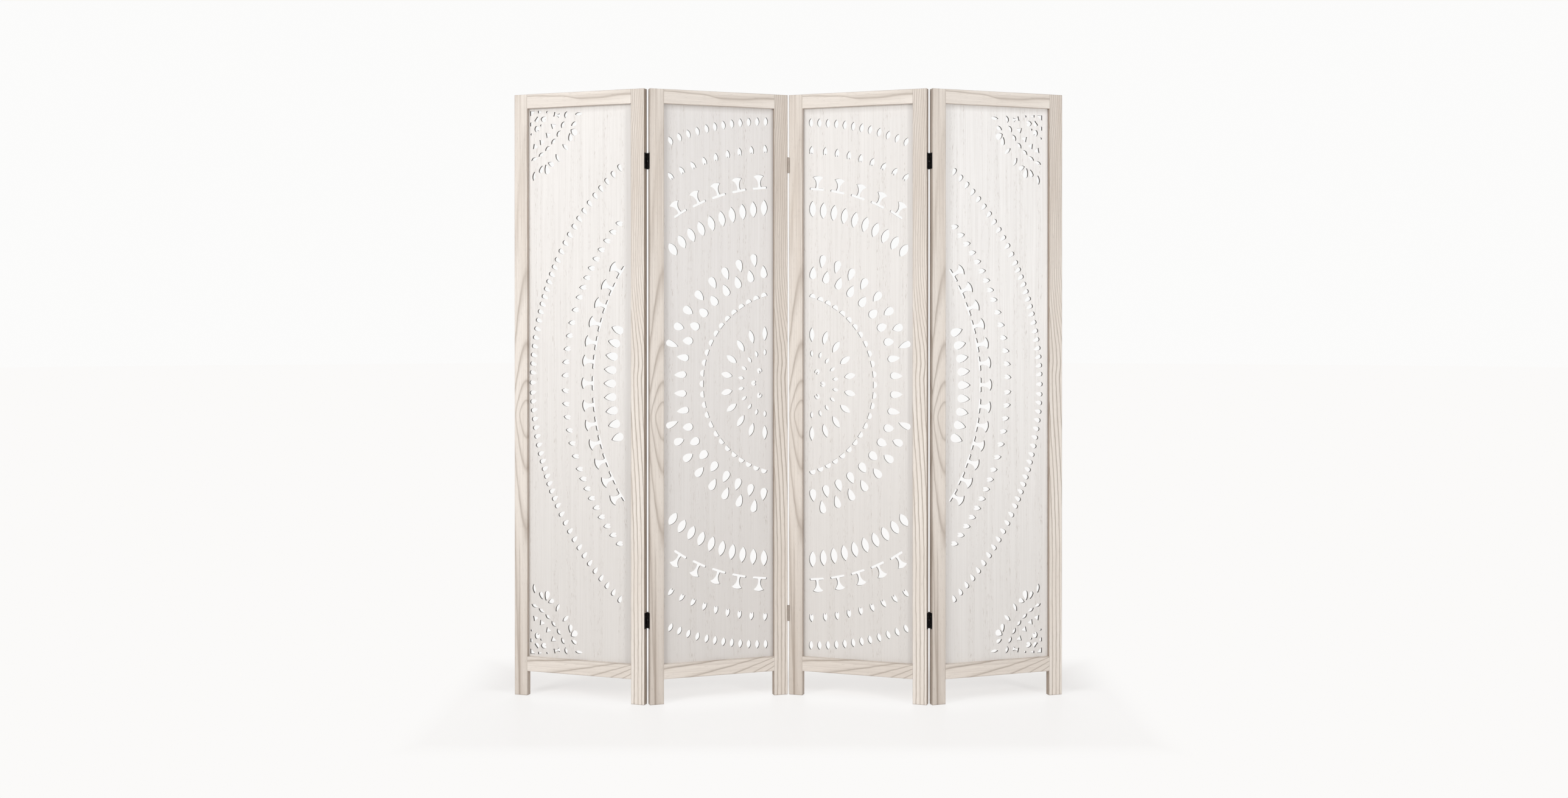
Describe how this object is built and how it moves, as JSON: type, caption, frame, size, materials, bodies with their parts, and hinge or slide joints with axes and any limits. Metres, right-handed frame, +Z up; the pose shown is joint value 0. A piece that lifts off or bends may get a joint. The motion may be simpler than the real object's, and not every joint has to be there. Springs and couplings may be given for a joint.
{
  "type": "carved jali screen",
  "caption": "Folding room screen of hinged, framed wooden leaves with thin panels cut through in a round lattice ornament; stands in a zigzag to divide or shield a space.",
  "frame": {"origin": "bottom centre of the box round the whole screen as it stands in the picture, on the floor", "axes": "+Z up; +X from leaf 1 to leaf 4, along the screen's long line; the front, as pictured, is towards -Y"},
  "size_m": [1.5524, 0.1438, 1.7],
  "materials": {
    "frame_wood": "pale weathered oak with grey-brown grain, dry matt",
    "panel_wood": "whitewashed, faint upright grain, dry matt",
    "dowel_wood": "plain turned",
    "ridge_hinge_metal": "black satin",
    "valley_hinge_metal": "light taupe satin",
    "pin_steel": "bright",
    "screw_steel": "dull"
  },
  "bodies": {
    "leaf_1": {"leaf_1_stile_left": "frame_wood", "leaf_1_stile_right": "frame_wood", "leaf_1_rail_top": "frame_wood", "leaf_1_rail_bottom": "frame_wood", "leaf_1_panel": "panel_wood", "leaf_1_dowels": "dowel_wood", "hinge_1_2_top_plate_1": "ridge_hinge_metal", "hinge_1_2_top_screws_1": "screw_steel", "hinge_1_2_bottom_plate_1": "ridge_hinge_metal", "hinge_1_2_bottom_screws_1": "screw_steel"},
    "leaf_2": {"leaf_2_stile_left": "frame_wood", "leaf_2_stile_right": "frame_wood", "leaf_2_rail_top": "frame_wood", "leaf_2_rail_bottom": "frame_wood", "leaf_2_panel": "panel_wood", "leaf_2_dowels": "dowel_wood", "hinge_1_2_top_plate_2": "ridge_hinge_metal", "hinge_1_2_top_screws_2": "screw_steel", "hinge_1_2_top_pin": "pin_steel", "hinge_1_2_bottom_plate_2": "ridge_hinge_metal", "hinge_1_2_bottom_screws_2": "screw_steel", "hinge_1_2_bottom_pin": "pin_steel", "hinge_2_3_top_plate_2": "valley_hinge_metal", "hinge_2_3_top_screws_2": "screw_steel", "hinge_2_3_top_pin": "pin_steel", "hinge_2_3_bottom_plate_2": "valley_hinge_metal", "hinge_2_3_bottom_screws_2": "screw_steel", "hinge_2_3_bottom_pin": "pin_steel"},
    "leaf_3": {"leaf_3_stile_left": "frame_wood", "leaf_3_stile_right": "frame_wood", "leaf_3_rail_top": "frame_wood", "leaf_3_rail_bottom": "frame_wood", "leaf_3_panel": "panel_wood", "leaf_3_dowels": "dowel_wood", "hinge_2_3_top_plate_3": "valley_hinge_metal", "hinge_2_3_top_screws_3": "screw_steel", "hinge_2_3_bottom_plate_3": "valley_hinge_metal", "hinge_2_3_bottom_screws_3": "screw_steel", "hinge_3_4_top_plate_3": "ridge_hinge_metal", "hinge_3_4_top_screws_3": "screw_steel", "hinge_3_4_top_pin": "pin_steel", "hinge_3_4_bottom_plate_3": "ridge_hinge_metal", "hinge_3_4_bottom_screws_3": "screw_steel", "hinge_3_4_bottom_pin": "pin_steel"},
    "leaf_4": {"leaf_4_stile_left": "frame_wood", "leaf_4_stile_right": "frame_wood", "leaf_4_rail_top": "frame_wood", "leaf_4_rail_bottom": "frame_wood", "leaf_4_panel": "panel_wood", "leaf_4_dowels": "dowel_wood", "hinge_3_4_top_plate_4": "ridge_hinge_metal", "hinge_3_4_top_screws_4": "screw_steel", "hinge_3_4_bottom_plate_4": "ridge_hinge_metal", "hinge_3_4_bottom_screws_4": "screw_steel"}
  },
  "joints": [
    {"name": "fold_1_2", "type": "hinge", "parent": "leaf_2", "child": "leaf_1", "pos_m": [-0.38915, -0.05219, 0], "axis": [0, 0, -1], "range_deg": [-36.8, 143.2]},
    {"name": "fold_2_3", "type": "hinge", "parent": "leaf_2", "child": "leaf_3", "pos_m": [0, 0.05219, 0], "axis": [0, 0, -1], "range_deg": [-36.8, 143.2]},
    {"name": "fold_3_4", "type": "hinge", "parent": "leaf_3", "child": "leaf_4", "pos_m": [0.38915, -0.05219, 0], "axis": [0, 0, 1], "range_deg": [-36.8, 143.2]}
  ]
}
